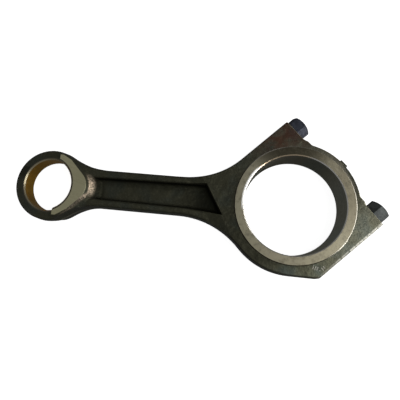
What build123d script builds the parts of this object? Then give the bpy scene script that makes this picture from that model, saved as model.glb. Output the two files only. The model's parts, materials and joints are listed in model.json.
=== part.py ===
"""Connecting rod with an oblique split big end, for a medium truck diesel engine.

Millimetres. The origin is the centre of the big-end bore at mid-width, +Z is the bore axis, and the
small end lies along -X. The cap joint is square to the bolt axis, which points along +X +Y.
The forging is symmetric about the parting plane z = 0, so every face above it has a twin below.
"""
from build123d import *

import os
from math import cos, radians, sin, sqrt, tan

# driving dimensions
CENTRES = 220.0          # big-end bore axis to small-end bore axis
SPLIT_ANGLE = 45.0       # bolt axis, from the rod's own axis
DRAFT = 6.0              # forging draft on the outer walls
RUNNING_GAP = 0.05       # radial gap of a screw in its thread

# big end
BORE_R = 42.5            # bare housing bore, without bearing shells
BORE_CHAMFER = 0.7
RING_R = 50.0            # machined thrust ring round the bore
RING_Z = 15.0            # half the width over the rings
RING_FILLET = 1.0
BIG_Z = 13.7             # half the thickness of the forging at the big end
BIG_EDGE = 1.4           # rounding along the top of its outer wall
ROD_SIDE_R = 60.0        # outside of the rod half, opposite the cap
CAP_BACK_R = 55.7        # outside of the cap
LUG_UPPER = 60.4         # outer wall of each bolt lug, from the bolt plane through the bore axis
LUG_LOWER = 59.1
LUG_CORNER_R = 4.0
BOSS_WIDTH = 9.0         # small pad on the cap's back
BOSS_REACH = 57.8
BOSS_EDGE = 1.5
BOSS_Z = 11.5

# cap joint, bolts and their seats
BOLTS = {"upper": 50.0, "lower": -49.2}       # each bolt axis, across from the bore axis
THREAD_R = 5.5           # M11
SHANK_R = 5.0
PILOT_R = 5.6            # ground length that straddles the joint and locates the cap
PILOT_HOLE_R = 5.65
PILOT_LENGTH = 10.0
THREAD_RELIEF = 1.0
THREAD_END = 20.0        # depth of the bolt's tip below the joint
HOLE_END = 21.5
SEAT = 44.0              # height of the bolt seats above the joint
SEAT_STOCK = 1.7         # forged metal above the seats before they are milled
SEAT_INNER = 36.0        # the seats start this far from the middle of the cap
SEAT_ROOT_R = 8.0        # the cutter's rounded corner
SEAT_LEAN = 45.0         # and the lean of its inner side
SEAT_CHAMFER = 0.8
STOCK_ROOT_R = 3.0
HEAD_FLATS = 18.0
HEAD_HEIGHT = 11.8
HEAD_CHAMFER = 1.3
TIP_CHAMFER = 1.0
HEAD_TURN = {"upper": 21.0, "lower": -14.0}   # from +Z to the nearest corner, when tight
JOINT_GAP = 0.02         # between the two joint faces
NOTCH_LENGTH = 6.5       # locating notches for the bearing shells, beside the upper joint
NOTCH_DEPTH = 1.6
NOTCH_WIDTH = 6.0
NOTCH_Z = {"rod": 6.5, "cap": -6.5}

# shank
SHANK_UPPER = 18.0       # outer walls at the parting plane, from the rod's axis
SHANK_LOWER = 17.2
RAIL_Z = 11.0            # half the thickness over the rails
RAIL_EDGE = 2.4          # rounding of the rails' outer and inner edges
RAIL_INNER_EDGE = 1.8
WEB_Z = 3.2              # half the thickness of the web
RECESS_NEAR = 11.7       # half-width of the recess by the big end, at the rails' top
RECESS_FAR = 10.2        # and by the small end
RECESS_DRAFT = 10.0
RECESS_FLOOR_R = 3.6
RAMP_SLOPE = 50.0        # conical end of the recess, from the small-end pad down to the web
RAMP_LEAD = 1.1          # how far outside the pad it would reach the pad's height
RECESS_FLARE_X = -92.0   # its lower edge flares out from here
RECESS_FLARE = 11.2
RECESS_END = ((-75.4, 12.2), (-59.4, -14.2))  # oblique edge where the big end's face starts
RECESS_START = -196.0    # the recess runs out in the ramp before this
MOUTH_HALF = 13.7        # the edges round the recess lie within this distance of the axis
FACE_LEAD = 1.2          # the face starts this far before the recess ends
FACE_SLOPE = 14.0        # slope from the face down to the rails
SMALL_UPPER_R = 80.0     # shank to small end
SMALL_LOWER_R = 50.0
UPPER_BLEND_R = 66.0     # shank to the upper lug
LOWER_BLEND_R = 75.0     # shank to the rod side of the big end

# small end
EYE_R = 33.0
EYE_EDGE = 1.5
PAD_Z = 14.5             # half the thickness on the shank side
NARROW_Z = 7.75          # half the thickness on the tip side
STEP_X = 10.0            # the step, from the pin axis towards the shank
PAD_HALF = 27.3          # half-width of the thrust pad at the step
PAD_POINT = 43.8         # where its 45 degree sides would meet, from the pin axis
PAD_SLOPE = 33.0         # slope from the pad down to the rails
PAD_POINT_R = 15.0
PAD_CORNER_R = 3.0
PAD_EDGE = 2.0           # rounding of the outer wall beside the pad
BUSH_R = 25.5
PIN_R = 23.5
BUSH_CHAMFER = 1.0

PIN_X = -CENTRES
ROOT2 = sqrt(2.0)
TALL = 80.0              # larger than any thickness, for cutters
NEAR = 0.01              # how close two values are when an edge is picked by them
RISE = tan(radians(DRAFT))


def bolt_frame(s, t, z=0.0):
    """Location with local Z along the bolt axis, s above the joint and t across it."""
    along = radians(SPLIT_ANGLE)
    origin = (s * cos(along) - t * sin(along), s * sin(along) + t * cos(along), z)
    return Location(Plane(origin=origin, x_dir=(-sin(along), cos(along), 0),
                          z_dir=(cos(along), sin(along), 0)))


def in_plan(s, t):
    """Plan point at height s above the joint and t across it."""
    along = radians(SPLIT_ANGLE)
    return (s * cos(along) - t * sin(along), s * sin(along) + t * cos(along))


def along_bolt(edge):
    """Height of an edge's centre above the joint."""
    centre = edge.center()
    return centre.X * cos(radians(SPLIT_ANGLE)) + centre.Y * sin(radians(SPLIT_ANGLE))


def both_sides(solid):
    """A solid on the parting plane, and its twin below."""
    return solid + mirror(solid, about=Plane.XY)


def tangent_on(circle_x, circle_r, blend_r, half_width, side):
    """Where a concave blend touches a circle on the rod's axis, and the shank's straight wall."""
    lift = half_width + blend_r
    reach = sqrt((circle_r + blend_r) ** 2 - lift ** 2)
    share = circle_r / (circle_r + blend_r)
    towards = 1 if circle_x < 0 else -1
    on_circle = (circle_x + towards * reach * share, side * lift * share)
    on_wall = (circle_x + towards * reach, side * half_width)
    return on_circle, on_wall


def outline():
    """Outer wall of the whole forging at the parting plane, rod and cap together."""
    eye_top, wall_top = tangent_on(PIN_X, EYE_R, SMALL_UPPER_R, SHANK_UPPER, 1)
    eye_low, wall_low = tangent_on(PIN_X, EYE_R, SMALL_LOWER_R, SHANK_LOWER, -1)
    big_low, wall_big = tangent_on(0.0, ROD_SIDE_R, LOWER_BLEND_R, SHANK_LOWER, -1)
    corner_x = LUG_UPPER * ROOT2
    turn = UPPER_BLEND_R * tan(radians(SPLIT_ANGLE / 2))
    lug_start = (SHANK_UPPER - corner_x + turn * cos(radians(SPLIT_ANGLE)),
                 SHANK_UPPER + turn * sin(radians(SPLIT_ANGLE)))
    wall_lug = (SHANK_UPPER - corner_x - turn, SHANK_UPPER)
    seat = SEAT + SEAT_STOCK + RISE * BIG_Z
    half_back = sqrt(CAP_BACK_R ** 2 - seat ** 2)
    low_corner = (LUG_LOWER * ROOT2 - ROD_SIDE_R, -ROD_SIDE_R)
    edges = [
        ThreePointArc(eye_top, (PIN_X - EYE_R, 0), eye_low),
        RadiusArc(eye_low, wall_low, SMALL_LOWER_R),
        Line(wall_low, wall_big),
        RadiusArc(wall_big, big_low, LOWER_BLEND_R),
        RadiusArc(big_low, (0, -ROD_SIDE_R), -ROD_SIDE_R),
        Line((0, -ROD_SIDE_R), low_corner),
        Line(low_corner, in_plan(seat, -LUG_LOWER)),
        Line(in_plan(seat, -LUG_LOWER), in_plan(seat, -half_back)),
        ThreePointArc(in_plan(seat, -half_back), in_plan(CAP_BACK_R, 0), in_plan(seat, half_back)),
        Line(in_plan(seat, half_back), in_plan(seat, LUG_UPPER)),
        Line(in_plan(seat, LUG_UPPER), lug_start),
        RadiusArc(lug_start, wall_lug, UPPER_BLEND_R),
        Line(wall_lug, wall_top),
        RadiusArc(wall_top, eye_top, SMALL_UPPER_R),
    ]
    plan = make_face(Curve() + edges)
    nearest = plan.vertices().sort_by_distance
    seat_roots = [nearest((*in_plan(seat, t), 0))[0] for t in (half_back, -half_back)]
    plan = fillet(nearest((*low_corner, 0))[0], LUG_CORNER_R)
    return fillet([plan.vertices().sort_by_distance(v)[0] for v in seat_roots], STOCK_ROOT_R)


def upper_layer(plan, height, edge_r):
    """The drafted forging above the parting plane, up to a flat face with a rounded rim."""
    layer = extrude(plan, height, taper=DRAFT)
    return fillet(layer.faces().sort_by(Axis.Z)[-1].edges(), edge_r)


def big_end_zone():
    """Everything on the big-end side of the oblique edge where its raised face starts."""
    (x1, y1), (x2, y2) = RECESS_END
    length = sqrt((x2 - x1) ** 2 + (y2 - y1) ** 2)
    along = ((x2 - x1) / length, (y2 - y1) / length)
    back = FACE_LEAD + BIG_Z / tan(radians(FACE_SLOPE))
    middle = ((x1 + x2) / 2 + along[1] * back, (y1 + y2) / 2 - along[0] * back)
    place = Plane(origin=(*middle, 0), x_dir=(along[1], -along[0], 0), z_dir=(0, 0, 1))
    square = place * Rectangle(CENTRES, 2 * CENTRES, align=(Align.MAX, Align.CENTER))
    return extrude(square, BIG_Z, taper=90 - FACE_SLOPE)


def pad_plan():
    """Outline of the small end's pointed thrust pad, at its own height."""
    points = [(-EYE_R, -PAD_HALF), (PAD_POINT - PAD_HALF, -PAD_HALF), (PAD_POINT, 0),
              (PAD_POINT - PAD_HALF, PAD_HALF), (-EYE_R, PAD_HALF)]
    pad = make_face(Polyline(*points, close=True))
    pad = fillet(pad.vertices().sort_by(Axis.X)[-1], PAD_POINT_R)
    shoulders = [v for v in pad.vertices() if abs(v.X - (PAD_POINT - PAD_HALF)) < NEAR]
    return Pos(PIN_X, 0, PAD_Z) * fillet(shoulders, PAD_CORNER_R)


def pad_zone():
    """Frustum under the thrust pad, sloping down to the rails."""
    depth = PAD_Z - RAIL_Z + RAIL_EDGE
    return extrude(pad_plan(), depth, dir=(0, 0, -1), taper=PAD_SLOPE - 90)


def recess():
    """Pocket between the rails, ramped at the small end."""
    near, far = RECESS_NEAR, RECESS_FAR
    corners = [(RECESS_START, far), RECESS_END[0], RECESS_END[1],
               (RECESS_FLARE_X, -RECESS_FLARE), (RECESS_START, -far)]
    opening = Pos(0, 0, BIG_Z) * make_face(Polyline(*corners, close=True))
    pocket = extrude(opening, BIG_Z - WEB_Z, dir=(0, 0, -1), taper=RECESS_DRAFT)
    drop = PAD_Z - WEB_Z
    top_r = PAD_POINT_R + RAMP_LEAD
    middle = Pos(PIN_X + PAD_POINT - ROOT2 * PAD_POINT_R, 0, (PAD_Z + WEB_Z) / 2)
    pocket -= middle * Cone(top_r + drop / tan(radians(RAMP_SLOPE)), top_r, drop)
    return fillet(pocket.faces().sort_by(Axis.Z)[0].edges(), RECESS_FLOOR_R)


def step_cut():
    """Metal removed above the narrow tip of the small end."""
    return Pos(PIN_X + STEP_X, 0, NARROW_Z) * Box(
        TALL, TALL, TALL, align=(Align.MAX, Align.CENTER, Align.MIN))


def cap_boss():
    """Small raised block in the middle of the cap's back."""
    foot = BOSS_REACH - SEAT
    plan = Pos(*in_plan(SEAT + foot / 2, 0)) * Rectangle(foot, BOSS_WIDTH, rotation=SPLIT_ANGLE)
    block = extrude(plan, BOSS_Z, taper=DRAFT)
    return fillet(block.faces().sort_by(Axis.Z)[-1].edges(), BOSS_EDGE)


def circles(body, radius, height):
    """Circular edges of one radius, at plus and minus one height."""
    return [e for e in body.edges().filter_by(GeomType.CIRCLE)
            if abs(e.radius - radius) < NEAR and abs(abs(e.center().Z) - height) < NEAR]


def forging():
    """Rod and cap as one forging, before anything is bored or drilled."""
    plan = outline()
    pocket = recess()
    shank = upper_layer(plan, RAIL_Z, RAIL_EDGE) - pocket
    mouth = [e for e in shank.edges()
             if abs(e.center().Z - RAIL_Z) < NEAR and abs(e.center().Y) < MOUTH_HALF]
    shank = fillet(mouth, RAIL_INNER_EDGE)
    big = (upper_layer(plan, BIG_Z, BIG_EDGE) & big_end_zone()) - pocket
    pad = (upper_layer(plan, PAD_Z, PAD_EDGE) & pad_zone()) - pocket
    upper = shank + big + pad - step_cut()
    rim = [e for e in upper.edges().filter_by(GeomType.CIRCLE)
           if abs(e.center().Z - NARROW_Z) < NEAR and e.length > EYE_R]
    upper = fillet(rim, EYE_EDGE)
    return both_sides(upper + cap_boss())


def seat_cutter(side):
    """Milling cut that leaves one bolt seat, running out of the cap's back in a rounded corner."""
    lean = TALL / tan(radians(SEAT_LEAN))
    corners = [in_plan(SEAT, side * SEAT_INNER), in_plan(SEAT, side * 2 * TALL),
               in_plan(SEAT + TALL, side * 2 * TALL), in_plan(SEAT + TALL, side * (SEAT_INNER - lean))]
    plan = make_face(Polyline(*corners, close=True))
    root = plan.vertices().sort_by_distance((*corners[0], 0))[0]
    return extrude(fillet(root, SEAT_ROOT_R), TALL, both=True)


def machined():
    """The forging with its thrust rings, bores and bolt seats."""
    body = forging() + Cylinder(RING_R, 2 * RING_Z)
    body = fillet(circles(body, RING_R, BIG_Z), RING_FILLET)
    body -= Cylinder(BORE_R, TALL)
    body = chamfer(circles(body, BORE_R, RING_Z), BORE_CHAMFER)
    body -= Pos(PIN_X, 0, 0) * Cylinder(BUSH_R, TALL)
    for side in (1, -1):
        body -= seat_cutter(side)
    rims = [e for e in body.edges().filter_by(GeomType.LINE)
            if abs(abs(e.center().Z) - BIG_Z) < NEAR and abs(along_bolt(e) - SEAT) < NEAR]
    return chamfer(rims, SEAT_CHAMFER)


def half_space(side):
    """One side of the cap joint: 1 for the cap, -1 for the rod."""
    return bolt_frame(side * (JOINT_GAP / 2 + 2 * CENTRES), 0) * Box(
        4 * CENTRES, TALL, 4 * CENTRES)


def notch(half, side):
    """Slot in the bore wall, beside the joint, for a bearing shell's tang."""
    return bolt_frame(side * NOTCH_LENGTH / 2, BORE_R, NOTCH_Z[half]) * Box(
        2 * NOTCH_DEPTH, NOTCH_WIDTH, NOTCH_LENGTH)


def drilled(low, high, radius, offset):
    """Round cutter on one bolt axis, between two heights above the joint."""
    return bolt_frame((low + high) / 2, offset) * Cylinder(radius, high - low)


def rod_body(body):
    """Rod half: shank, small end and the threaded side of the joint."""
    rod = body & half_space(-1)
    for offset in BOLTS.values():
        rod -= drilled(-PILOT_LENGTH / 2, 0, PILOT_HOLE_R, offset)
        rod -= drilled(-HOLE_END, 0, THREAD_R + RUNNING_GAP, offset)
    return rod - notch("rod", -1)


def bearing_cap(body):
    """Cap half, drilled through for the bolts."""
    cap = body & half_space(1)
    for offset in BOLTS.values():
        cap -= drilled(0, SEAT + TALL, PILOT_HOLE_R, offset)
    return cap - notch("cap", 1)


def cap_bolt(name, offset):
    """Hexagon bolt with a ground pilot across the joint and a threaded tip."""
    corner_r = HEAD_FLATS / 2 / cos(radians(30))
    head = bolt_frame(SEAT, offset) * extrude(
        RegularPolygon(corner_r, 6, rotation=HEAD_TURN[name]), HEAD_HEIGHT)
    turned = bolt_frame(SEAT + HEAD_HEIGHT / 2, offset) * Cylinder(corner_r, HEAD_HEIGHT)
    end = turned.edges().filter_by(GeomType.CIRCLE).sort_by(along_bolt)[-1]
    head &= chamfer(end, HEAD_CHAMFER)
    shank = drilled(-THREAD_END, SEAT, SHANK_R, offset)
    pilot = drilled(-PILOT_LENGTH / 2, PILOT_LENGTH / 2, PILOT_R, offset)
    thread = drilled(-THREAD_END, -PILOT_LENGTH / 2 - THREAD_RELIEF, THREAD_R, offset)
    tip = thread.edges().filter_by(GeomType.CIRCLE).sort_by(along_bolt)[0]
    return head + shank + pilot + chamfer(tip, TIP_CHAMFER)


def small_end_bush():
    """Pressed bush, machined to the same step as the small end."""
    bush = Pos(PIN_X, 0, 0) * (Cylinder(BUSH_R, 2 * PAD_Z) - Cylinder(PIN_R, 2 * PAD_Z))
    bush -= both_sides(step_cut())
    for height in (PAD_Z, NARROW_Z):
        bush = chamfer(circles(bush, PIN_R, height), BUSH_CHAMFER)
    return bush


def main():
    """Write one STEP file for each piece."""
    body = machined()
    pieces = {"rod_body": rod_body(body), "bearing_cap": bearing_cap(body),
              "small_end_bush": small_end_bush()}
    for name, offset in BOLTS.items():
        pieces[f"cap_bolt_{name}"] = cap_bolt(name, offset)
    os.makedirs("parts", exist_ok=True)
    for node, piece in pieces.items():
        export_step(piece, f"parts/{node}.step")


main()
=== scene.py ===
"""Looks of the connecting rod: materials, small pieces, lights and camera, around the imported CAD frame."""

import json
from math import ceil, cos, pi, radians, sin, tan

import bpy
from mathutils import Matrix, Vector

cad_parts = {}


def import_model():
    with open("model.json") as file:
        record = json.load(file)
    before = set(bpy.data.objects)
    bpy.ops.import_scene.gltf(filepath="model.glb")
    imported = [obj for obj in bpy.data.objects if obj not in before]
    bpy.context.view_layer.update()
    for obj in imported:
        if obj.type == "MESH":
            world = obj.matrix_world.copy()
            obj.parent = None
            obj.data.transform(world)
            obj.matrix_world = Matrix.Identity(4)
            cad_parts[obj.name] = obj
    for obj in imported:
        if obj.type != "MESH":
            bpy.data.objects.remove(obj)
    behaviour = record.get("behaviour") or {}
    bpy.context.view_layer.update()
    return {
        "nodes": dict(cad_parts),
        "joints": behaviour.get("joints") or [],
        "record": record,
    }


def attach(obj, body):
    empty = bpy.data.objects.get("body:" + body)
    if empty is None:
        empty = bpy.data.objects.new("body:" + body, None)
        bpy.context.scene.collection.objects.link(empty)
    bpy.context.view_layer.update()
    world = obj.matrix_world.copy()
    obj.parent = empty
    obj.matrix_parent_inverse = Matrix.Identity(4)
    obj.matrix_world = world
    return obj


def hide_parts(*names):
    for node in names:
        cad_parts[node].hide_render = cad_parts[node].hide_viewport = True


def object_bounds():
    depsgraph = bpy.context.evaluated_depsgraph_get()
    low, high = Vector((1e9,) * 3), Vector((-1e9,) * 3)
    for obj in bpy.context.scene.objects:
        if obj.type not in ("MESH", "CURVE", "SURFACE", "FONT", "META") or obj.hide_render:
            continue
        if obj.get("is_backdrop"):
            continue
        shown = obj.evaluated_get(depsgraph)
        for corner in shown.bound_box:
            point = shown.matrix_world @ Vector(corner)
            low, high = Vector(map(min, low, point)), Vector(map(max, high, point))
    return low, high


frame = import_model()
nodes = frame["nodes"]
mounts = {m["name"]: m for m in frame["record"]["mounts"]}
joints = {j["name"]: j for j in frame["joints"]}

MM = 0.001

# driving sizes, from the frame, in millimetres
PIN_X = mounts["pin_bore"]["pos_m"][0] / MM
BORE_R = mounts["crank_bore"]["dims"]["r_mm"]
PAD_Z = mounts["small_end_pad_front"]["pos_m"][2] / MM
BOLT_AXIS = Vector(joints["cap_lift"]["axis"]).normalized()
ACROSS = Vector((-BOLT_AXIS.y, BOLT_AXIS.x, 0))
UP = Vector((0, 0, 1))

# sizes that the frame doesn't hold, in millimetres
RING_R = 50.0            # outside of the thrust rings
RING_FOOT_R = 51.0       # and of the fillet at their foot
FACE_Z = 13.7            # the forged faces round them
PAD_END = 54.0           # past the small-end pad, from the pin axis
SEAT = 44.0              # bolt seats, above the joint
SEAT_SUM = 79.2          # height above the joint plus distance across it, past which a seat is milled
SEAT_EDGE_Z = 12.6       # the seats' broken edges start at this height
BUSH_BACK_R = 24.3       # where the bush's end face turns from bronze to its steel back
FLASH_HALF = 0.9         # half the width of the trimmed flash along the parting line
FLOOR_HALF = 20000.0

# hexagon bolts, with heights measured from the joint, in millimetres
THREAD_R = 5.5
THREAD_CORE_R = 4.8
PITCH = 1.25
CREST_RISE = 1.35        # rise of the thread's side over half a pitch, in thread depths
ROOT_FLAT = 0.1          # and what is cut off it at the root
THREAD_TOP = -6.0
LEAD_IN = 1.2            # length over which the thread starts, at the tip
RUN_OUT = 0.9            # and ends, below the pilot
TIP = -20.0
TIP_BEVEL = 0.9
SHANK_R = 4.97
PILOT_R = 5.6
PILOT_HALF = 5.0
PILOT_STEP = 0.4         # height of the cone from the pilot to the shank
BEVEL = 0.3
WASHER_R = 8.7
WASHER_HEIGHT = 0.5
HEAD_SLOPE = 30.0        # of the turned chamfer on the head, from its top
CHAMFER_IN = 0.45        # where the chamfer starts, inside the head's flats
CHAMFER_BREAK = 0.08
CORNER_BREAK = 0.12
DISH_R = 5.4
DISH_DEPTH = 0.35
SIDES = 96               # steps round the bolt, a multiple of twelve
RINGS_PER_TURN = 10      # of the thread


class Field:
    """A shader value that can be worked with like a number; each operation adds one Math node."""

    def __init__(self, tree, socket):
        self.tree = tree
        self.socket = socket

    def math(self, operation, *others):
        node = self.tree.nodes.new("ShaderNodeMath")
        node.operation = operation
        for slot, value in zip(node.inputs, (self, *others)):
            plug(self.tree, slot, value)
        return Field(self.tree, node.outputs[0])

    def __add__(self, other):
        return self.math("ADD", other)

    def __sub__(self, other):
        return self.math("SUBTRACT", other)

    def __mul__(self, other):
        return self.math("MULTIPLY", other)

    def inverse(self):
        """What is left of 1."""
        return self * -1 + 1

    def abs(self):
        return self.math("ABSOLUTE")

    def root(self):
        return self.math("SQRT")

    def max(self, other):
        return self.math("MAXIMUM", other)

    def angle(self, other):
        """Angle of the plan point (other, self), in radians."""
        return self.math("ARCTAN2", other)

    def ramp(self, low, high):
        """0 below low and 1 above high, or the other way round where low is the larger."""
        node = self.tree.nodes.new("ShaderNodeMapRange")
        node.interpolation_type = "SMOOTHSTEP"
        ends = (high, low, 1, 0) if low > high else (low, high, 0, 1)
        for slot, value in zip(list(node.inputs)[1:5], ends):
            slot.default_value = value
        plug(self.tree, node.inputs[0], self)
        return Field(self.tree, node.outputs[0])


def plug(tree, slot, value):
    """Feeds a Field, a socket or a plain value into an input."""
    if isinstance(value, Field):
        tree.links.new(value.socket, slot)
    elif isinstance(value, bpy.types.NodeSocket):
        tree.links.new(value, slot)
    else:
        slot.default_value = value


class Paint:
    """One material's node tree, with object coordinates in millimetres."""

    def __init__(self, name):
        self.material = bpy.data.materials.new(name)
        self.material.use_nodes = True
        self.tree = self.material.node_tree
        self.shader = self.tree.nodes["Principled BSDF"]
        coords = self.tree.nodes.new("ShaderNodeTexCoord")
        scale = self.tree.nodes.new("ShaderNodeVectorMath")
        scale.operation = "SCALE"
        scale.inputs["Scale"].default_value = 1 / MM
        self.tree.links.new(coords.outputs["Object"], scale.inputs[0])
        self.point = scale.outputs[0]
        self.x, self.y, self.z = self.split(self.point)
        self.facing = self.split(coords.outputs["Normal"])

    def split(self, vector):
        """The three coordinates of a vector."""
        node = self.tree.nodes.new("ShaderNodeSeparateXYZ")
        self.tree.links.new(vector, node.inputs[0])
        return [Field(self.tree, out) for out in node.outputs]

    def radius(self, centre_x=0.0, centre_y=0.0):
        """Distance from a vertical axis."""
        dx, dy = self.x - centre_x, self.y - centre_y
        return (dx * dx + dy * dy).root()

    def along(self, direction):
        """Coordinate along a direction in plan."""
        return self.x * direction.x + self.y * direction.y

    def spot(self, centre, reach):
        """1 at a plan point, fading to 0 at a distance."""
        return self.radius(*centre).ramp(reach, 0.0)

    def vector(self, x, y, z):
        node = self.tree.nodes.new("ShaderNodeCombineXYZ")
        for slot, value in zip(node.inputs, (x, y, z)):
            plug(self.tree, slot, value)
        return node.outputs[0]

    def noise(self, size, detail=3.0, roughness=0.5, at=None):
        """Noise of about the given grain size in millimetres, round 0.5."""
        node = self.tree.nodes.new("ShaderNodeTexNoise")
        plug(self.tree, node.inputs["Vector"], self.point if at is None else at)
        node.inputs["Scale"].default_value = 1 / size
        node.inputs["Detail"].default_value = detail
        node.inputs["Roughness"].default_value = roughness
        return Field(self.tree, node.outputs["Fac"])

    def mix(self, share, first, second):
        """Colour between two others."""
        node = self.tree.nodes.new("ShaderNodeMix")
        node.data_type = "RGBA"
        plug(self.tree, node.inputs[0], share)
        for slot, value in ((node.inputs[6], first), (node.inputs[7], second)):
            plug(self.tree, slot, (*value, 1.0) if isinstance(value, tuple) else value)
        return node.outputs[2]

    def mix_vectors(self, share, first, second):
        """Vector between two others."""
        node = self.tree.nodes.new("ShaderNodeMix")
        node.data_type = "VECTOR"
        for slot, value in zip((node.inputs[0], node.inputs[4], node.inputs[5]), (share, first, second)):
            plug(self.tree, slot, value)
        return node.outputs[1]

    def blend(self, share, first, second):
        """Number between two others."""
        node = self.tree.nodes.new("ShaderNodeMix")
        for slot, value in zip((node.inputs[0], node.inputs[2], node.inputs[3]), (share, first, second)):
            plug(self.tree, slot, value)
        return Field(self.tree, node.outputs[0])

    def bump(self, height, depth, under=None):
        """Normal bent by a height field; depth is in millimetres."""
        node = self.tree.nodes.new("ShaderNodeBump")
        plug(self.tree, node.inputs["Height"], height)
        node.inputs["Distance"].default_value = depth * MM
        if under is not None:
            self.tree.links.new(under, node.inputs["Normal"])
        return node.outputs["Normal"]

    def set(self, **values):
        """Feeds the Principled shader's inputs by name, with _ for a space."""
        for name, value in values.items():
            if isinstance(value, tuple) and len(value) == 3:
                value = (*value, 1.0)
            plug(self.tree, self.shader.inputs[name.replace("_", " ")], value)
        return self.material


def scaled(colour, factor):
    return tuple(factor * part for part in colour)


# base colours of the forged skin
SKIN_DARK = (0.017, 0.018, 0.0105)
SKIN_LIGHT = (0.040, 0.038, 0.028)
HEATED = (0.050, 0.020, 0.012)
JOINT_LINE = (0.004, 0.004, 0.003)
# painted highlight on the ramp's crest and the strip below the pad
RAMP_GLINT_COLOUR = (0.50, 0.40, 0.30)
# painted highlight along the lower lug's edge
LUG_EDGE_HIGHLIGHT = (0.48, 0.465, 0.41)
BESIDE_RING = (0.13, 0.12, 0.095)

# base colours of the machined faces
CUT_DARK = (0.36, 0.34, 0.24)
CUT_LIGHT = (0.46, 0.435, 0.32)
CUT_CLOUD = (0.29, 0.275, 0.185)
CUT_PITTED = (0.10, 0.09, 0.065)
PAD_TONE = (0.42, 0.40, 0.215)
# the rings' own darker tone, also carrying painted light and shade by position
RING_TONE_AND_SHADE = (0.095, 0.080, 0.055)
# painted shade on the rings' top
RING_TOP_SHADE_COLOUR = (0.030, 0.026, 0.017)
STAIN = (0.08, 0.072, 0.052)
# painted highlight on the rings' inner edge
PAINTED_LIP_COLOUR = (0.96, 0.95, 0.92)
# painted shade and painted highlight on the rings' foot fillet
FILLET_SHADE = (0.020, 0.019, 0.013)
FILLET_HIGHLIGHT = (0.60, 0.57, 0.50)
FILLET_FLUSH = (0.16, 0.15, 0.12)
HONED_DARK = (0.20, 0.20, 0.175)
HONED_LIGHT = (0.34, 0.34, 0.30)
# painted shade on the bore's wall towards +y
HONED_SHADE = (0.08, 0.08, 0.065)
CHAMFER_PLAIN = (0.92, 0.90, 0.85)
CHAMFER_WARM = (1.0, 0.76, 0.48)

# tints of the skin's reflections
GLEAM_OLIVE = (1.0, 1.0, 0.66)
GLEAM_GREEN = (0.80, 0.95, 0.80)
GLEAM_WARM = (1.0, 0.62, 0.42)
GLEAM_TEAL = (0.45, 0.95, 0.90)
GLEAM_VIOLET = (0.85, 0.50, 0.85)

# heat tints on the upper lug: each has a plan place and a reach
WARM_SPOT = ((-14.0, 58.0), 34.0)
TEAL_SPOT = ((-24.0, 47.0), 11.0)
VIOLET_SPOT = ((-4.0, 64.0), 12.0)

# sectors of the big end: a direction from the bore's axis, the cosine of the half angle, and a soft edge
# painted shade: the sector at the rings' top that is painted dark
RING_TOP_SHADE_SECTOR = ((-0.12, 0.993), 0.80, (-6.0, 9.0))
LIP_HIGHLIGHT_SECTOR = ((-0.96, 0.28), 0.9, (-1.0, 2.0))
FLUSH_SECTOR = ((0.45, 0.89), 0.75, (-6.0, 6.0))
WARM_RIM_SECTOR = ((-0.30, 0.954), 0.86, (-3.0, 2.0))

# the edges below are pairs of coordinates between which a mask fades in, in millimetres

# painted highlight: the crest of the ramp at the foot of the small-end pad, as an arc about a point on the
# rod's axis
CREST_X = PIN_X + 22.6
CREST_INSIDE = (16.6, 17.6)
CREST_OUTSIDE = (22.5, 19.0)
CREST_Y = 1.5
CREST_ENDS = (12.0, 3.0)
CREST_NEAR = (PIN_X + 27.0, PIN_X + 32.0)

# and the sloping strip along the pad's lower side, by x - y from the pin axis
STRIP_INSIDE = (43.0, 44.5)
STRIP_OUTSIDE = (49.0, 46.0)
STRIP_TOP = (-1.0, -6.0)
STRIP_Z = (11.6, 12.2)
PAD_FOOT_SPOT = ((PIN_X + 36.5, -8.5), 7.5)

# lower lug: painted sheen all over, and a painted highlight along its edge; T is across the bolt axis and S
# along it
LUG_SHEEN_T = (-22.0, -50.0)
LUG_SHEEN_S = (-45.0, 20.0)
BRINK_INSIDE_T = (-55.4, -56.0)
BRINK_OUTSIDE_T = (-59.4, -58.4)
BRINK_S = (-34.0, 14.0)

# recess of the shank, and what is dark in it
RECESS_Z = (9.5, 8.0)
RECESS_Y = (15.5, 15.0)
RECESS_X = (-40.0, -60.0)
FAR_SHADE_X = (-104.0, -74.0)
UPPER_SHADE_Y = (1.0, 8.5)
RAMP_FOOT_NEAR = (PIN_X + 38.0, PIN_X + 42.0)
RAMP_FOOT_FAR = (PIN_X + 56.0, PIN_X + 46.0)

DULL_SPOT = ((58.0, 12.0), 46.0)         # the cap's back, whose skin shines less
GRINDER_AT = (PIN_X + 90.0, 190.0)       # centre of the pad's curved grinding lines
HONING_LEAN = 0.6                        # of the crossing scratches, round the bore for each mm along it


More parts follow.
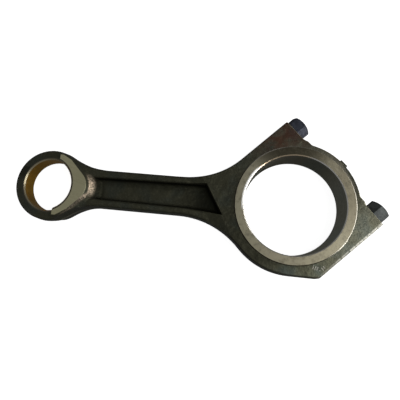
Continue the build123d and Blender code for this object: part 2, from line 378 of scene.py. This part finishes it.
class Steel(Paint):
    """Phosphated forging whose machined faces show turned, ground and honed steel."""

    def __init__(self, name):
        super().__init__(name)
        self.r, self.height = self.radius(), self.z.abs()
        self.s, self.t = self.along(BOLT_AXIS), self.along(ACROSS)
        self.upright = self.facing[2].abs()
        self.blotch = self.noise(24.0, 4.0, 0.6)
        self.grain = self.noise(0.9, 5.0, 0.65)
        self.specks = self.noise(2.4, 4.0, 0.7).ramp(0.55, 0.75)
        self.find_machined_faces()
        self.find_tint_and_painted_light()

    def sector(self, direction, spread, edge):
        """1 within an angle of a direction from the bore's axis."""
        return (self.along(Vector((*direction, 0))) - self.r * spread).ramp(*edge)

    def find_machined_faces(self):
        """Masks of the machined faces."""
        r, s, height, upright = self.r, self.s, self.height, self.upright
        self.ring = height.ramp(FACE_Z + 0.02, FACE_Z + 0.1) * r.ramp(RING_FOOT_R + 0.15, RING_FOOT_R)
        self.fillet = self.ring * r.ramp(RING_R - 0.2, RING_R)
        pad_end = PIN_X + PAD_END
        self.pad = height.ramp(PAD_Z - 0.12, PAD_Z - 0.04) * self.x.ramp(pad_end + 1.0, pad_end)
        self.bore = r.ramp(BORE_R + 0.8, BORE_R + 0.4) * upright.ramp(0.6, 0.3)
        self.rim = r.ramp(BORE_R + 0.9, BORE_R + 0.7) * upright.ramp(0.4, 0.5) * upright.ramp(0.95, 0.9)
        seat = s.ramp(SEAT - 0.15, SEAT - 0.05) * (s + self.t.abs()).ramp(SEAT_SUM, SEAT_SUM + 0.2)
        seat_edge = s.ramp(SEAT - 0.9, SEAT - 0.7) * height.ramp(SEAT_EDGE_Z, SEAT_EDGE_Z + 0.2)
        seat_edge = seat_edge * upright.ramp(0.9, 0.8)
        slant = (self.facing[0] * BOLT_AXIS.x + self.facing[1] * BOLT_AXIS.y).abs()
        joint = s.abs().ramp(0.06, 0.03) * slant.ramp(0.8, 0.95)
        self.bare = self.ring.max(self.pad).max(seat).max(joint).max(seat_edge).max(self.rim)

    def find_tint_and_painted_light(self):
        """Masks of the heat tint, and of painted light and shade: the rings' dark top, the lower lug's sheen
        and edge highlight, the highlights at the pad's foot, and the shade of the recess.
        """
        x, y, s, t, height = self.x, self.y, self.s, self.t, self.height
        self.warm = self.spot(*WARM_SPOT) * self.noise(9.0, 3.0, 0.6).ramp(0.3, 0.55)
        # painted shade: the rings' top is painted dark in this sector
        self.ring_top_shade = self.sector(*RING_TOP_SHADE_SECTOR)
        self.flush = self.sector(*FLUSH_SECTOR)
        near_ring = self.flush * self.r.ramp(56.0, RING_R + 0.8) * height.ramp(FACE_Z - 0.4, FACE_Z - 0.2)
        self.near_ring = near_ring * (self.ring_top_shade * 0.7).inverse()

        # the lower lug: painted sheen over it, and a painted highlight along its edge
        self.lug_sheen = t.ramp(*LUG_SHEEN_T) * s.ramp(*LUG_SHEEN_S) * self.blotch.ramp(0.2, 0.5)
        brink = t.ramp(*BRINK_INSIDE_T) * t.ramp(*BRINK_OUTSIDE_T) * s.ramp(*BRINK_S)
        self.brink = brink * self.noise(2.2, 3.0, 0.6).ramp(0.30, 0.55)

        # painted highlights on the skin: the ramp's crest, and the strip below the pad
        from_point = self.radius(CREST_X)
        crest = from_point.ramp(*CREST_INSIDE) * from_point.ramp(*CREST_OUTSIDE)
        crest = crest * (y - CREST_Y).abs().ramp(*CREST_ENDS) * x.ramp(*CREST_NEAR)
        sloping = x - y - PIN_X
        beside = sloping.ramp(*STRIP_INSIDE) * sloping.ramp(*STRIP_OUTSIDE)
        beside = beside * y.ramp(*STRIP_TOP) * height.ramp(*STRIP_Z) * self.pad.inverse()
        ramp_glint = crest.max(beside * (self.spot(*PAD_FOOT_SPOT) * 0.7 + 0.25))
        self.ramp_glint = ramp_glint * self.noise(1.0, 4.0, 0.75).ramp(0.40, 0.56)

        # shade in the recess: on its walls, towards the big end, along its upper side, at the ramp's foot
        hollow = height.ramp(*RECESS_Z) * y.abs().ramp(*RECESS_Y) * x.ramp(*RECESS_X)
        ramp_foot = x.ramp(*RAMP_FOOT_FAR) * x.ramp(*RAMP_FOOT_NEAR)
        gloom = self.upright.ramp(0.75, 0.4).max(x.ramp(*FAR_SHADE_X)).max(y.ramp(*UPPER_SHADE_Y) * 0.6)
        self.gloom = gloom.max(ramp_foot * 0.8) * hollow

    def skin(self):
        """Colour of the forged skin, which is lighter towards the cap."""
        # lighter on the lower lug, where painted sheen is added
        level = self.s.ramp(-30.0, 30.0) + self.lug_sheen * 2.2 + 0.55
        fine = (self.specks * 1.6 + 1.0) * (self.grain.ramp(0.62, 0.4) * 0.75 + 0.25)
        trimmed = self.height.ramp(FLASH_HALF + 0.6, FLASH_HALF) * self.upright.ramp(0.5, 0.2)
        trimmed = trimmed * self.r.ramp(BORE_R + 1.0, BORE_R + 3.0)
        skin = self.mix(level * fine * 0.25, scaled(SKIN_DARK, 0.4), scaled(SKIN_LIGHT, 2.6))
        skin = self.mix(self.gloom * 0.8, skin, scaled(SKIN_DARK, 0.1))
        skin = self.mix(self.warm * 0.7, skin, HEATED)
        skin = self.mix(trimmed, skin, scaled(SKIN_LIGHT, 2.0))
        skin = self.mix(self.s.abs().ramp(0.3, 0.1) * 0.85, skin, JOINT_LINE)
        # painted highlights on the ramp's crest and the strip below the pad
        skin = self.mix(self.ramp_glint, skin, RAMP_GLINT_COLOUR)
        skin = self.mix(self.near_ring * 0.7, skin, BESIDE_RING)
        # painted highlight along the lower lug's edge
        return self.mix(self.brink * 0.85, skin, LUG_EDGE_HIGHLIGHT)

    def gleam(self):
        """Tint of the skin's reflections."""
        haze = self.noise(17.0, 3.0, 0.5, at=self.vector(self.y, self.x, 40.0))
        gleam = self.mix(haze.ramp(0.4, 0.7), GLEAM_OLIVE, GLEAM_GREEN)
        gleam = self.mix(self.warm, gleam, GLEAM_WARM)
        gleam = self.mix(self.spot(*TEAL_SPOT) * 0.6, gleam, GLEAM_TEAL)
        return self.mix(self.spot(*VIOLET_SPOT) * 0.5, gleam, GLEAM_VIOLET)

    def sheen(self):
        """Strength of the skin's reflections."""
        x, y, s, t = self.x, self.y, self.s, self.t
        sheen = self.blotch.ramp(0.25, 0.75) * 0.12 + self.specks * 0.12 + self.lug_sheen * 0.5 + 0.30
        sheen = sheen + t.ramp(-15.0, -60.0) * 0.26 + y.ramp(-46.0, -56.0) * 0.3
        sheen = sheen - self.warm * 0.20 - self.spot(*DULL_SPOT) * 0.22
        sheen = sheen - x.ramp(-75.0, -50.0) * s.ramp(-20.0, -35.0) * 0.12
        return self.blend(self.gloom, sheen, 0.1)

    def tool_marks(self):
        """Turning lines round the bore, and the curved feed of the grinder on the pad."""
        turned = self.noise(0.33, 2.0, 0.6, at=self.vector(self.r, 0.0, 0.0))
        sweep = self.radius(*GRINDER_AT)
        ground = self.noise(1.6, 2.0, 0.6, at=self.vector(sweep, 0.0, 0.0))
        return self.blend(self.pad, turned, ground)

    def cut(self, lines):
        """Colour of the turned and ground faces."""
        cut = self.mix(lines.ramp(0.3, 0.7), CUT_DARK, CUT_LIGHT)
        cut = self.mix(self.blotch.ramp(0.35, 0.75) * 0.5, cut, CUT_CLOUD)
        cut = self.mix(self.pad * 0.4, cut, PAD_TONE)

        # the rings: darker all round, with painted light and shade by position (lighter towards -x, darker
        # where s is high and t low), painted shade at the top, stains, and a painted highlight along their
        # inner edge on one side
        ring_tone_and_shade_share = self.x.ramp(-5.0, -42.0) * -0.27 + self.s.ramp(5.0, 30.0) * self.t.ramp(10.0, -10.0) * 0.16
        cut = self.mix(self.ring * (ring_tone_and_shade_share + 0.64), cut, RING_TONE_AND_SHADE)
        cut = self.mix(self.ring * self.ring_top_shade * 0.92, cut, RING_TOP_SHADE_COLOUR)
        cut = self.mix(self.noise(4.5, 4.0, 0.65).ramp(0.45, 0.7) * self.ring * 0.5, cut, STAIN)
        # painted highlight: near-white colour on the rings' inner edge within one sector
        lip_highlight = self.sector(*LIP_HIGHLIGHT_SECTOR) * self.ring * self.r.ramp(BORE_R + 2.2, BORE_R + 1.6)
        cut = self.mix(lip_highlight, cut, PAINTED_LIP_COLOUR)
        # painted shade and painted highlight on the rings' foot fillet: dark on the rod's side, bright on
        # the cap's side
        cut = self.mix(self.fillet, cut, self.mix(self.s.ramp(-18.0, 8.0), FILLET_SHADE, FILLET_HIGHLIGHT))
        cut = self.mix(self.fillet * self.flush, cut, FILLET_FLUSH)
        return self.mix(self.noise(1.3, 3.0, 0.6).ramp(0.6, 0.72) * 0.4, cut, CUT_PITTED)

    def honing(self):
        """Crossing scratches on the wall of the bore."""
        sweep = self.y.angle(self.x) * BORE_R
        lean = self.z * HONING_LEAN
        first = self.noise(0.22, 2.0, 0.6, at=self.vector(sweep + lean, 0.0, 0.0))
        second = self.noise(0.22, 2.0, 0.6, at=self.vector(sweep - lean, 0.0, 9.0))
        return (first + second) * 0.5

    def wall(self, honed):
        """Colour of the bore's wall, with painted shade darkening it towards +y."""
        wall = self.mix(honed.ramp(0.4, 0.6), HONED_DARK, HONED_LIGHT)
        return self.mix(self.y.ramp(18.0, 42.0) * 0.85, wall, HONED_SHADE)

    def relief(self, metal, lines, honed):
        """Normal: rough and gently uneven on the skin, finely lined where it is bare metal."""
        forged = self.bump(self.grain, 0.22, self.bump(self.noise(5.0, 3.0, 0.55), 1.0))
        machined = self.bump(self.blend(self.bore, lines, honed), 0.045)
        return self.mix_vectors(metal, forged, machined)


def steel(name):
    """The rod's and the cap's material."""
    paint = Steel(name)
    bare, bore, rim = paint.bare, paint.bore, paint.rim
    lines, honed = paint.tool_marks(), paint.honing()
    colour = paint.mix(bare, paint.skin(), paint.cut(lines))
    colour = paint.mix(bore, colour, paint.wall(honed))
    chamfer = paint.mix(paint.sector(*WARM_RIM_SECTOR) * 0.8, CHAMFER_PLAIN, CHAMFER_WARM)
    colour = paint.mix(rim, colour, chamfer)
    metal = (bare - bore * 0.45).max(bore * 0.55).max(paint.ramp_glint * 0.8)
    metal = metal.max(paint.lug_sheen * 0.35).max(paint.near_ring * 0.6).max(paint.brink * 0.7)
    rough = paint.blend(bare, paint.grain * 0.2 + paint.specks * 0.08 + 0.32, lines * 0.16 + 0.30)
    rough = paint.blend(bore, rough, honed * 0.2 + 0.30)
    rough = paint.blend(rim.max(paint.fillet), rough, 0.24)
    return paint.set(Base_Color=colour, Metallic=metal * 0.95, Roughness=rough,
                     Normal=paint.relief(metal, lines, honed),
                     Specular_IOR_Level=paint.sheen(), Specular_Tint=paint.gleam())


BRONZE_DARK = (0.66, 0.34, 0.036)
BRONZE_LIGHT = (0.78, 0.46, 0.07)
# painted shade on the lining
BRONZE_SHADE = (0.24, 0.15, 0.03)
BRONZE_LINE = (0.30, 0.16, 0.035)
BRONZE_PITTED = (0.16, 0.10, 0.04)
BRONZE_EDGE_DARK = (0.34, 0.29, 0.18)
BRONZE_EDGE_LIGHT = (0.46, 0.41, 0.28)
STEEL_BACK = (0.07, 0.065, 0.05)


def bronze():
    """Bored bronze lining on a steel back."""
    paint = Paint("bush_bronze")
    upright = paint.facing[2].abs()
    end_face = upright.ramp(0.3, 0.5)
    chamfer = end_face * upright.ramp(0.9, 0.8)
    cloud = paint.noise(4.0, 4.0, 0.6)
    rings = paint.noise(0.25, 2.0, 0.6, at=paint.vector(0.0, 0.0, paint.z))
    lining = paint.mix(cloud.ramp(0.3, 0.7), BRONZE_DARK, BRONZE_LIGHT)
    # painted shade: the lining darker at large |y|, away from the rod's axis line
    lining = paint.mix(paint.y.abs().ramp(5.0, 16.0) * 0.45, lining, BRONZE_SHADE)
    lining = paint.mix(rings.ramp(0.55, 0.7) * 0.5, lining, BRONZE_LINE)
    lining = paint.mix(paint.noise(1.2, 4.0, 0.7).ramp(0.6, 0.72) * 0.4, lining, BRONZE_PITTED)
    edge = paint.mix(cloud, BRONZE_EDGE_DARK, BRONZE_EDGE_LIGHT)
    edge = paint.mix(paint.radius(PIN_X).ramp(BUSH_BACK_R, BUSH_BACK_R + 0.4), edge, STEEL_BACK)
    rough = paint.blend(chamfer, rings * 0.2 + 0.32, 0.25)
    return paint.set(Base_Color=paint.mix(end_face, lining, edge), Metallic=0.95, Roughness=rough,
                     Normal=paint.bump(rings, 0.03))


UPPER_BOLT_TINT = (0.042, 0.047, 0.064)
UPPER_BOLT_WORN = (0.11, 0.10, 0.13)
LOWER_BOLT_TINT = (0.066, 0.073, 0.071)
LOWER_BOLT_WORN = (0.14, 0.14, 0.13)
GROUND_DARK = (0.36, 0.35, 0.33)
GROUND_LIGHT = (0.5, 0.49, 0.46)


def black_oxide(name, tint, worn):
    """Blued bolt steel, with a bright ground pilot."""
    paint = Paint(name)
    s = paint.along(BOLT_AXIS)
    cloud = paint.noise(5.0, 4.0, 0.6)
    grain = paint.noise(0.45, 4.0, 0.6)
    colour = paint.mix(cloud.ramp(0.35, 0.65), scaled(tint, 0.75), scaled(tint, 1.35))
    colour = paint.mix(paint.noise(1.4, 4.0, 0.7).ramp(0.58, 0.72) * 0.5, colour, worn)
    pilot = s.abs().ramp(PILOT_HALF + 0.1, PILOT_HALF - 0.1)
    ground = paint.noise(0.2, 2.0, 0.6, at=paint.vector(s, 0.0, 0.0))
    colour = paint.mix(pilot, colour, paint.mix(ground, GROUND_DARK, GROUND_LIGHT))
    rough = paint.blend(pilot, grain * 0.16 + 0.50, ground * 0.15 + 0.2)
    return paint.set(Base_Color=colour, Metallic=0.7, Roughness=rough, Normal=paint.bump(grain, 0.03))


STAMP_DARK = (0.05, 0.048, 0.036)
# the bright speckle is painted glints
STAMP_GLINT = (0.60, 0.57, 0.50)


def glinted_stamp_steel():
    """Stamped marks, speckled with bright colour as painted glints."""
    paint = Paint("stamped_steel")
    grain = paint.noise(0.4, 4.0, 0.7)
    colour = paint.mix(grain.ramp(0.4, 0.6), STAMP_DARK, STAMP_GLINT)
    return paint.set(Base_Color=colour, Metallic=0.8, Roughness=grain * 0.3 + 0.3,
                     Normal=paint.bump(grain, 0.1))


MATERIALS = {
    "rod_body": steel("forged_steel"),
    "bearing_cap": steel("cap_steel"),
    "small_end_bush": bronze(),
    "cap_bolt_upper": black_oxide("bolt_blue_black", UPPER_BOLT_TINT, UPPER_BOLT_WORN),
    "cap_bolt_lower": black_oxide("bolt_green_black", LOWER_BOLT_TINT, LOWER_BOLT_WORN),
}
STAMPED = glinted_stamp_steel()

for name, obj in nodes.items():
    obj.data.materials.clear()
    obj.data.materials.append(MATERIALS[name])


def new_piece(name, points, faces, body, material):
    """A mesh piece from points in millimetres, attached to a body."""
    mesh = bpy.data.meshes.new(name)
    mesh.from_pydata([Vector(p) * MM for p in points], [], faces)
    mesh.materials.append(material)
    piece = bpy.data.objects.new(name, mesh)
    bpy.context.scene.collection.objects.link(piece)
    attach(piece, body)
    return piece


def thread_radius(s, angle):
    """Radius of the rounded screw thread at one height and angle."""
    phase = (s / PITCH - angle / (2 * pi)) % 1.0
    crest = min(1.0, max(0.0, CREST_RISE * (1 - abs(2 * phase - 1)) - ROOT_FLAT))
    lead_in = min(1.0, (s - TIP) / LEAD_IN)
    run_out = min(1.0, max(0.0, (THREAD_TOP - s) / RUN_OUT))
    return THREAD_CORE_R + (THREAD_R - THREAD_CORE_R) * crest * lead_in * run_out


def turned_profile():
    """Radius and height of each plain ring of the bolt, from the thread up to the washer face's top."""
    neck_r = SHANK_R - BEVEL
    return ((neck_r, THREAD_TOP + BEVEL), (neck_r, -PILOT_HALF - PILOT_STEP),
            (PILOT_R - BEVEL, -PILOT_HALF), (PILOT_R, -PILOT_HALF + BEVEL),
            (PILOT_R, PILOT_HALF - BEVEL), (PILOT_R - BEVEL, PILOT_HALF),
            (SHANK_R, PILOT_HALF + PILOT_STEP), (SHANK_R, SEAT - 1.0),
            (SHANK_R + 0.2, SEAT - 0.35), (SHANK_R + 0.6, SEAT),
            (WASHER_R - 0.15, SEAT), (WASHER_R, SEAT + 0.1), (WASHER_R, SEAT + WASHER_HEIGHT))


def bolt_rings(head_top, corner_r):
    """From tip to head, functions of the angle from a corner that give a ring's radius and height."""
    flat_r = corner_r * cos(radians(30))
    rings = [lambda a: (0.0, TIP), lambda a: (THREAD_CORE_R - TIP_BEVEL, TIP)]
    steps = ceil((THREAD_TOP - TIP) / PITCH * RINGS_PER_TURN)
    for i in range(1, steps + 1):
        s = TIP + (THREAD_TOP - TIP) * i / steps
        rings.append(lambda a, s=s: (thread_radius(s, a), s))
    rings += [lambda a, ring=ring: ring for ring in turned_profile()]

    def hexagon(a):
        return min(flat_r / cos((a + radians(30)) % radians(60) - radians(30)), corner_r - CORNER_BREAK)

    def chamfer_height(a):
        return head_top - (hexagon(a) - flat_r + CHAMFER_IN) * tan(radians(HEAD_SLOPE))

    under = SEAT + WASHER_HEIGHT
    rings += [lambda a: (hexagon(a) - CORNER_BREAK, under), lambda a: (hexagon(a), under + CORNER_BREAK),
              lambda a: (hexagon(a), chamfer_height(a) - CHAMFER_BREAK),
              lambda a: (hexagon(a) - CHAMFER_BREAK, chamfer_height(a))]
    top = ((flat_r - CHAMFER_IN, head_top), (DISH_R + 0.25, head_top), (DISH_R, head_top - 0.1),
           (DISH_R - DISH_DEPTH, head_top - DISH_DEPTH), (0.0, head_top - DISH_DEPTH))
    return rings + [lambda a, ring=ring: ring for ring in top]


def head_of(node):
    """A CAD bolt's place across the joint, its top, and the spoke from its axis to one head corner."""
    points = [v.co / MM for v in nodes[node].data.vertices]
    across = sum((max(p.dot(ACROSS) for p in points), min(p.dot(ACROSS) for p in points))) / 2
    top = max(p.dot(BOLT_AXIS) for p in points)
    spokes = [p - ACROSS * across for p in points if p.dot(BOLT_AXIS) > SEAT - 0.1]
    spokes = [p - BOLT_AXIS * p.dot(BOLT_AXIS) for p in spokes]
    corner = max(spokes, key=lambda p: p.length)
    return across, top, corner


def hexagon_bolt(node, body):
    """Detailed bolt in place of its plain CAD stand-in."""
    across, top, corner = head_of(node)
    first = corner.normalized()
    second = BOLT_AXIS.cross(first)
    points, faces = [], []
    rings = bolt_rings(top, corner.length)
    for ring in rings:
        for i in range(SIDES):
            a = 2 * pi * i / SIDES
            radius, s = ring(a)
            points.append(ACROSS * across + BOLT_AXIS * s + (first * cos(a) + second * sin(a)) * radius)
    for k in range(len(rings) - 1):
        for i in range(SIDES):
            j = (i + 1) % SIDES
            faces.append((k * SIDES + i, k * SIDES + j, (k + 1) * SIDES + j, (k + 1) * SIDES + i))
    piece = new_piece(node + "_detail", points, faces, body, MATERIALS[node])
    weld = piece.modifiers.new("weld", "WELD")
    weld.merge_threshold = 0.001 * MM
    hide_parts(node)
    return piece


# raised marks on the big end's front face: x, y, length, width and turn in degrees
PAIR_MARKS = (
    (17.6, -50.0, 3.4, 0.6, 75), (19.3, -50.4, 3.4, 0.6, 75), (21.0, -50.8, 3.4, 0.6, 75),
    (25.0, -50.6, 2.8, 0.6, 135), (26.3, -49.3, 2.8, 0.6, 135), (22.9, -52.2, 0.9, 0.9, 0),
)
MARK_HEIGHT = 0.1
MARK_DEPTH = 0.1         # how far a mark reaches into the face
CROWN_HEIGHT = 0.1       # bevelled top of a mark, above its sides
CROWN_INSET = 0.12


def mark_plate(name, body, marks, height):
    """Raised generic marks on the big end's front face."""
    points, faces = [], []
    for x, y, length, width, turn in marks:
        lengthways = Vector((cos(radians(turn)), sin(radians(turn)), 0))
        sideways = UP.cross(lengthways)
        start = len(points)
        for lift, shrink in ((-MARK_DEPTH, 0.0), (height, 0.0), (height + CROWN_HEIGHT, CROWN_INSET)):
            for u, v in ((-1, -1), (1, -1), (1, 1), (-1, 1)):
                points.append(Vector((x, y, FACE_Z + lift)) + lengthways * u * (length / 2 - shrink)
                              + sideways * v * (width / 2 - shrink))
        for k in (0, 4):
            for i in range(4):
                j = (i + 1) % 4
                faces.append((start + k + i, start + k + j, start + k + 4 + j, start + k + 4 + i))
        faces.append(tuple(start + 8 + i for i in range(4)))
        faces.append(tuple(start + i for i in (3, 2, 1, 0)))
    return new_piece(name, points, faces, body, STAMPED)


def area_light(name, azimuth, elevation, distance, size, power, colour=(1, 1, 1)):
    """Soft box at a direction from the big end's centre, facing it; distance and size are in metres."""
    level = distance * cos(radians(elevation))
    place = Vector((level * cos(radians(azimuth)), level * sin(radians(azimuth)),
                    distance * sin(radians(elevation))))
    data = bpy.data.lights.new(name, "AREA")
    data.shape = "RECTANGLE"
    data.size, data.size_y = size
    data.energy = power
    data.color = colour
    light = bpy.data.objects.new(name, data)
    light.location = place
    light.rotation_euler = (-place).to_track_quat("-Z", "Y").to_euler()
    bpy.context.scene.collection.objects.link(light)


def floor():
    """Plain white table top."""
    mesh = bpy.data.meshes.new("floor")
    half = FLOOR_HALF * MM
    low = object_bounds()[0].z
    corners = [(x * half, y * half, low) for x, y in ((-1, -1), (1, -1), (1, 1), (-1, 1))]
    mesh.from_pydata(corners, [], [(0, 1, 2, 3)])
    table = bpy.data.objects.new("floor", mesh)
    bpy.context.scene.collection.objects.link(table)
    paint = Paint("floor_white")
    paint.set(Base_Color=(0.5, 0.5, 0.5), Roughness=0.9, Specular_IOR_Level=0.0,
              Emission_Color=(1.0, 1.0, 1.0), Emission_Strength=0.9)
    mesh.materials.append(paint.material)
    table.visible_glossy = False
    table.visible_diffuse = False
    table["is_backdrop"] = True


def world(overhead, low):
    """Studio surroundings, brightest overhead and dim from the horizon down."""
    scene = bpy.context.scene
    scene.world = bpy.data.worlds.new("studio")
    scene.world.use_nodes = True
    tree = scene.world.node_tree
    coords = tree.nodes.new("ShaderNodeTexCoord")
    split = tree.nodes.new("ShaderNodeSeparateXYZ")
    tree.links.new(coords.outputs["Generated"], split.inputs[0])
    strength = Field(tree, split.outputs[2]).ramp(0.0, 0.95) * (overhead - low) + low
    plug(tree, tree.nodes["Background"].inputs[1], strength)
    plug(tree, tree.nodes["Background"].inputs[0], (1.0, 1.0, 1.0, 1.0))


def camera():
    """Nearly straight down from above the shank, close enough to show perspective."""
    place = Vector((-52.9, -44.1, 297.4)) * MM
    target = Vector((-81.1, -1.0, 0.0)) * MM
    roll = radians(-27.8)
    back = (place - target).normalized()
    level = UP.cross(back).normalized()
    upright = back.cross(level)
    right = level * cos(roll) + upright * sin(roll)
    up = upright * cos(roll) - level * sin(roll)
    data = bpy.data.cameras.new("camera")
    data.sensor_width = 36.0
    data.lens = 30.15
    data.clip_start = 0.01
    cam = bpy.data.objects.new("camera", data)
    cam.matrix_world = Matrix.Translation(place) @ Matrix((right, up, back)).transposed().to_4x4()
    bpy.context.scene.collection.objects.link(cam)
    bpy.context.scene.camera = cam


hexagon_bolt("cap_bolt_upper", "upper_bolt")
hexagon_bolt("cap_bolt_lower", "lower_bolt")
mark_plate("rod_pair_marks", "rod", PAIR_MARKS, MARK_HEIGHT)

floor()
world(overhead=0.38, low=0.09)
area_light("high", azimuth=-5, elevation=58, distance=1.0, size=(0.6, 0.6), power=4.0)
area_light("low", azimuth=2, elevation=8, distance=1.0, size=(1.5, 0.42), power=9.5,
           colour=(1.0, 0.98, 0.95))
camera()
bpy.context.scene.view_settings.view_transform = "Standard"
